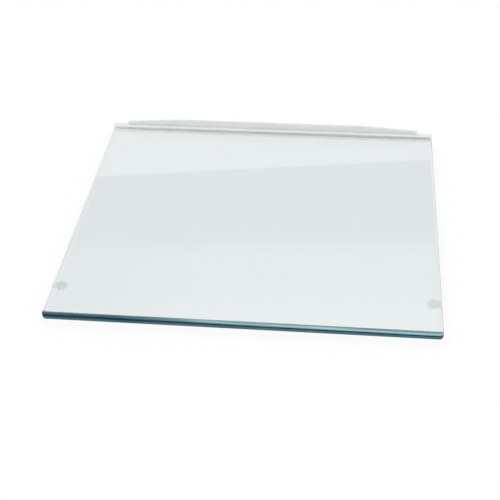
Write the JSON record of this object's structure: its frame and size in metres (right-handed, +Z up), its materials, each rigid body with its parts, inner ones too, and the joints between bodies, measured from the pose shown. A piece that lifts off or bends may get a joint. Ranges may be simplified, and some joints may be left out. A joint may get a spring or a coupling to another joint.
{
  "type": "fridge glass shelf",
  "caption": "Thick polished glass fridge shelf with a white push-on rear trim whose stop rim slopes to its ends, resting on clear front bumpers.",
  "frame": {"origin": "middle of the shelf's footprint, on the surface that it lies on", "axes": "+X along the width, +Y from the polished front edge towards the rear trim, +Z up"},
  "size_m": [0.3, 0.2758, 0.0177],
  "materials": {
    "clear_glass": "clear float glass with polished edges that look teal",
    "white_plastic": "satin moulded white",
    "clear_bumper": "clear soft polyurethane"
  },
  "bodies": {
    "root": {"glass_plate": "clear_glass", "rear_trim": "white_plastic", "left_pad": "clear_bumper", "right_pad": "clear_bumper"}
  },
  "joints": []
}
